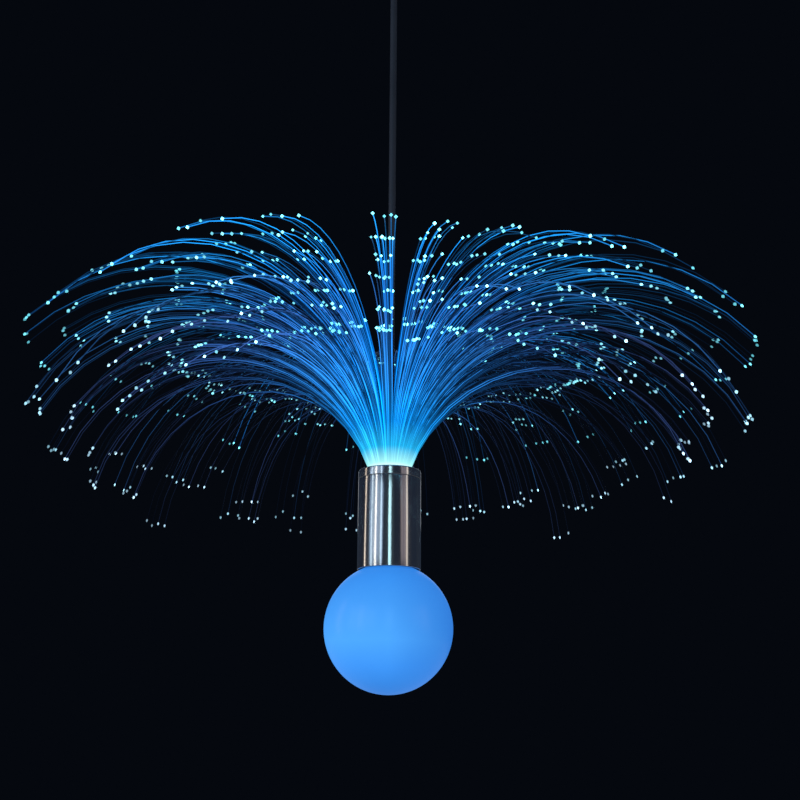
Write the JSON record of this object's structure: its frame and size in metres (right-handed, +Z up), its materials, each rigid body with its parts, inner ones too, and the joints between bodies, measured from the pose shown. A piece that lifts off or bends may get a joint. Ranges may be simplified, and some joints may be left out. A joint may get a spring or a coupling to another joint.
{
  "type": "fibre-optic pendant light",
  "caption": "Pendant light: steel cylinder on a cord, a fountain of drooping light-guide fibres above it and a milky globe below.",
  "frame": {"origin": "where the lamp's axis meets the ceiling, on the top face of the hook plate", "axes": "+Z up, out of the plate's top face into the ceiling; +X towards the set screws' heads; the picture looks along +Y"},
  "size_m": [0.697, 0.5878, 0.83],
  "materials": {
    "brushed_steel": "brushed along the axis",
    "plain_steel": "zinc plated",
    "brass": "turned",
    "cast_aluminium": "cast",
    "seal_rubber": "matt",
    "cord_jacket": "satin",
    "lit_fibre": "side-glowing acrylic fibre",
    "milk_globe": "opal acrylic",
    "board_lacquer": "white solder lacquer",
    "green_board": "green solder lacquer",
    "led_lens": "clear dome",
    "pale_plastic": "moulded",
    "black_plastic": "moulded",
    "winding_tape": "polyester tape"
  },
  "bodies": {
    "ceiling": {"hook_plate": "brushed_steel", "ceiling_hook": "plain_steel", "hook_nut": "plain_steel", "terminal_block": "pale_plastic"},
    "ring": {"hang_ring": "plain_steel"},
    "pendant": {"cord_grip": "brass", "grip_screw_1": "plain_steel", "grip_screw_2": "plain_steel", "cord": "cord_jacket", "strain_relief": "seal_rubber", "gland_nut": "black_plastic", "stem_tube": "brass", "stem_nut": "brass", "fibre_bundle_1": "lit_fibre", "fibre_bundle_2": "lit_fibre", "fibre_bundle_3": "lit_fibre", "fibre_bundle_4": "lit_fibre", "ferrule": "plain_steel", "top_cap": "brushed_steel", "housing_tube": "brushed_steel", "heat_sink": "cast_aluminium", "led_board": "board_lacquer", "led_1": "led_lens", "led_2": "led_lens", "led_3": "led_lens", "led_4": "led_lens", "led_5": "led_lens", "led_6": "led_lens", "upper_pillar_1": "brass", "upper_pillar_2": "brass", "upper_pillar_3": "brass", "lower_pillar_1": "brass", "lower_pillar_2": "brass", "lower_pillar_3": "brass", "driver_board": "green_board", "transformer": "winding_tape", "capacitor": "black_plastic", "lower_plate": "cast_aluminium", "plate_screw_1": "plain_steel", "plate_screw_2": "plain_steel", "plate_screw_3": "plain_steel", "globe_led_board": "board_lacquer", "globe_led": "led_lens"},
    "cup": {"ceiling_cup": "brushed_steel", "cup_bush": "black_plastic", "cup_bush_nut": "black_plastic", "cup_set_screw": "plain_steel"},
    "seal": {"globe_seal": "seal_rubber"},
    "globe": {"globe_collar": "pale_plastic", "globe": "milk_globe"}
  },
  "joints": [
    {"name": "ring_swing", "type": "hinge", "parent": "ceiling", "child": "ring", "pos_m": [0, 0, -0.0255], "axis": [1, 0, 0], "range_deg": [-7, 7]},
    {"name": "pendant_swing", "type": "hinge", "parent": "ring", "child": "pendant", "pos_m": [0, 0, -0.03445], "axis": [0, 1, 0], "range_deg": [-7, 7]},
    {"name": "cup_slide", "type": "slide", "parent": "pendant", "child": "cup", "axis": [0, 0, 1], "range_m": [-0.25, 0]},
    {"name": "globe_drop", "type": "slide", "parent": "pendant", "child": "seal", "axis": [0, 0, 1], "range_m": [-0.0073, 0]},
    {"name": "globe_turn", "type": "hinge", "parent": "seal", "child": "globe", "pos_m": [0, 0, -0.77], "axis": [0, 0, 1], "range_deg": [0, 720]}
  ],
  "couplings": [
    {"joint": "globe_drop", "follows": "globe_turn", "m_per_rad": -0.00057296}
  ]
}
